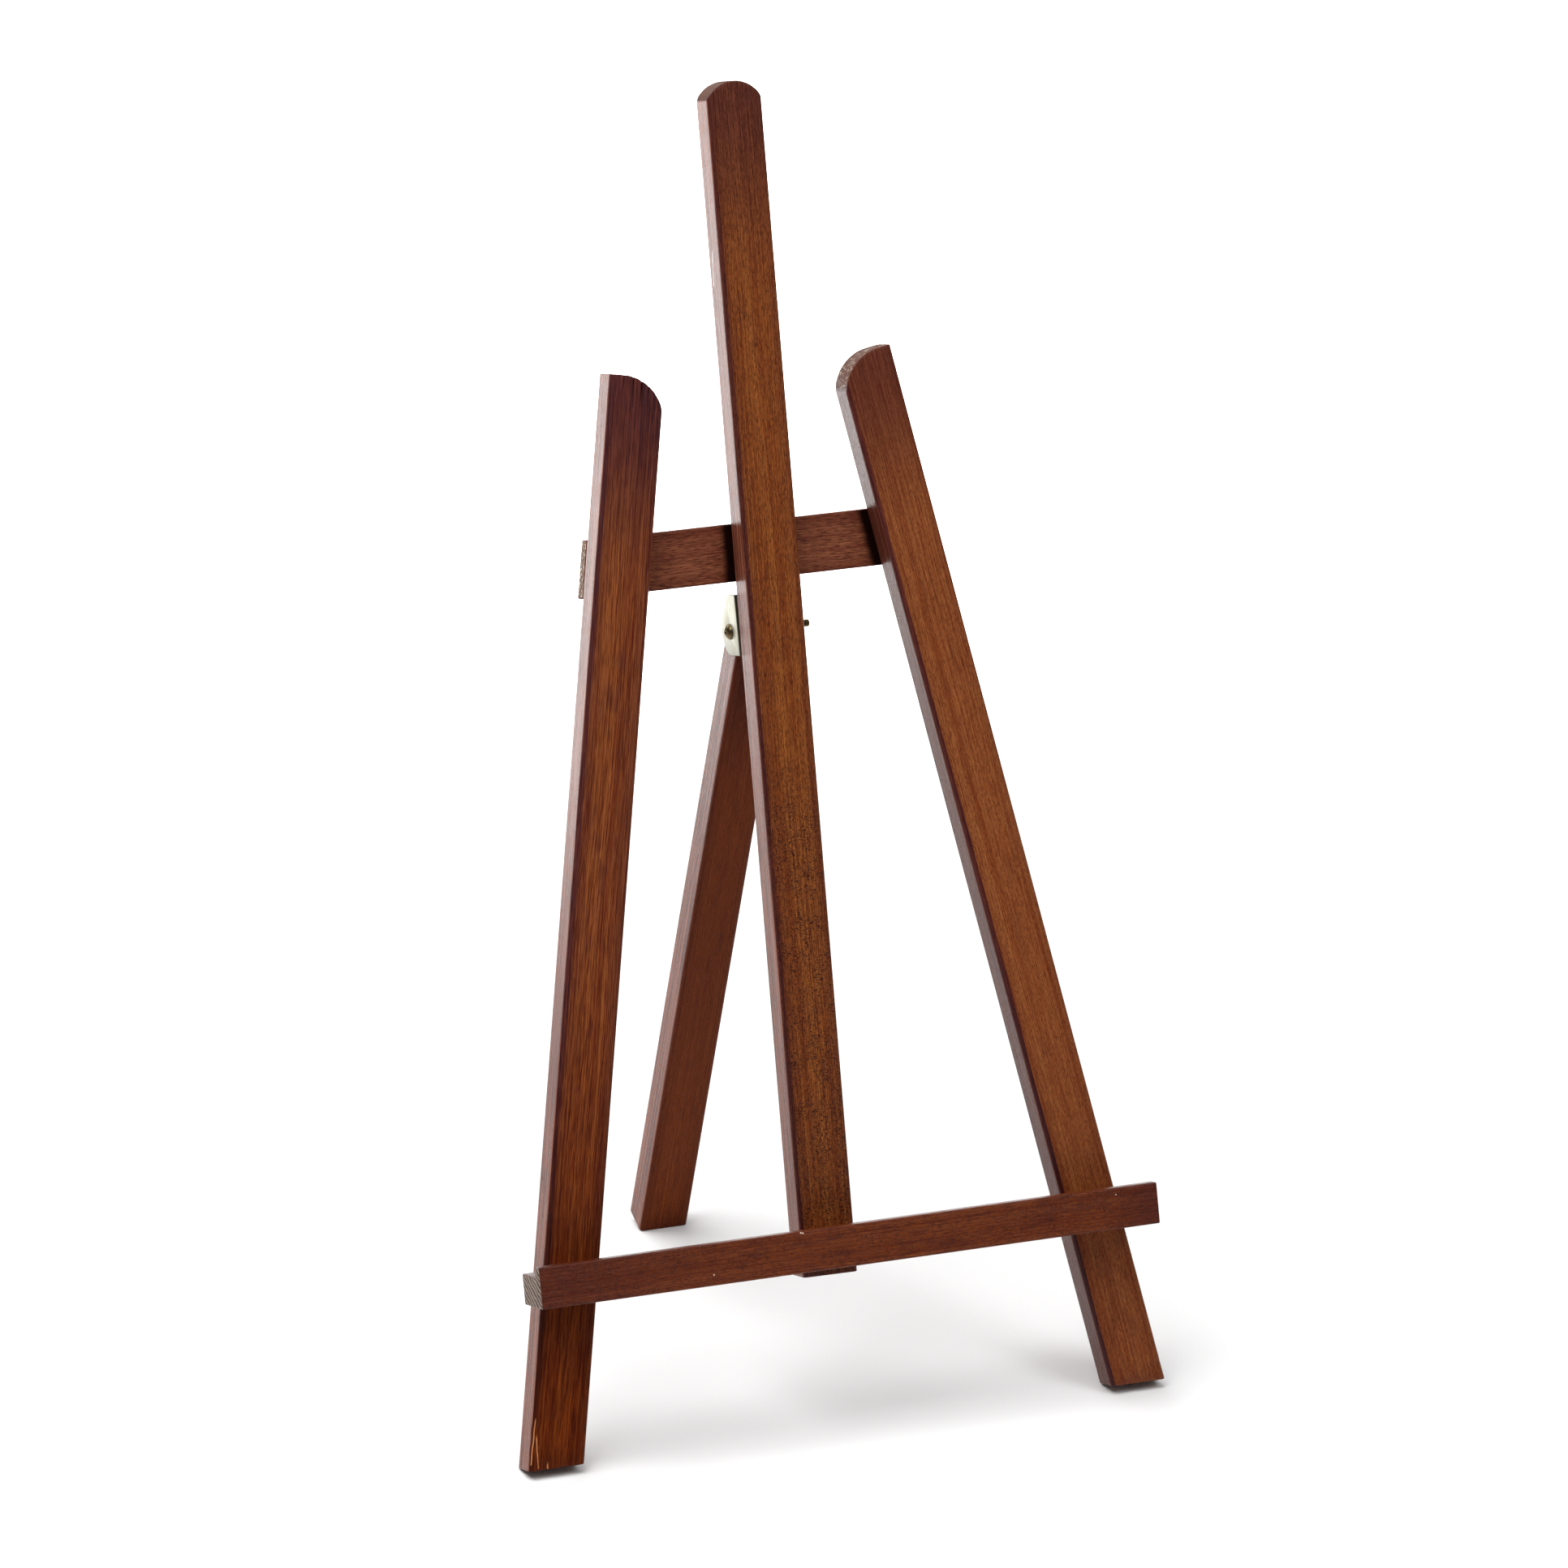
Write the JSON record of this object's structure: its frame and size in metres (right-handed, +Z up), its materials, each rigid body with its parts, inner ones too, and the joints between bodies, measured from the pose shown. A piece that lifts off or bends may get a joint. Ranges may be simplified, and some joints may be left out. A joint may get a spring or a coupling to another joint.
{
  "type": "tabletop display easel",
  "caption": "Small wooden tabletop easel: leaning A-frame of flat slats with a central mast, a rear crossbar and a lipped front ledge, propped by a hinged rear leg.",
  "frame": {"origin": "on the table top, below the middle of the footprint's bounding box", "axes": "+X to the easel's right as seen from its front, +Y towards the rear leg, +Z up"},
  "size_m": [0.2592, 0.226, 0.4938],
  "materials": {
    "stained_wood": "satin lacquer over red-brown mahogany stain",
    "stained_wood_dark": "satin lacquer over darker red-brown stain",
    "bracket_plate": "pale brass plating, smooth",
    "bolt_brass": "darkened antique brass",
    "zinc_screw": "bright zinc plating"
  },
  "bodies": {
    "frame": {"mast": "stained_wood", "left_leg": "stained_wood", "right_leg": "stained_wood", "crossbar": "stained_wood", "ledge": "stained_wood", "hinge_bracket": "bracket_plate", "hinge_bolt": "bolt_brass", "hinge_nut": "bolt_brass", "bracket_screw_upper": "zinc_screw", "bracket_screw_lower": "zinc_screw", "crossbar_screw_left_upper": "zinc_screw", "crossbar_screw_left_lower": "zinc_screw", "crossbar_screw_mast_upper": "zinc_screw", "crossbar_screw_mast_lower": "zinc_screw", "crossbar_screw_right_upper": "zinc_screw", "crossbar_screw_right_lower": "zinc_screw", "ledge_screw_left": "zinc_screw", "ledge_screw_mast": "zinc_screw", "ledge_screw_right": "zinc_screw"},
    "rear_leg": {"rear_leg": "stained_wood_dark"}
  },
  "joints": [
    {"name": "rear_leg_fold", "type": "hinge", "parent": "frame", "child": "rear_leg", "pos_m": [0.0006, -0.00077, 0.28819], "axis": [1, 0, 0], "range_deg": [-38, 0]}
  ]
}
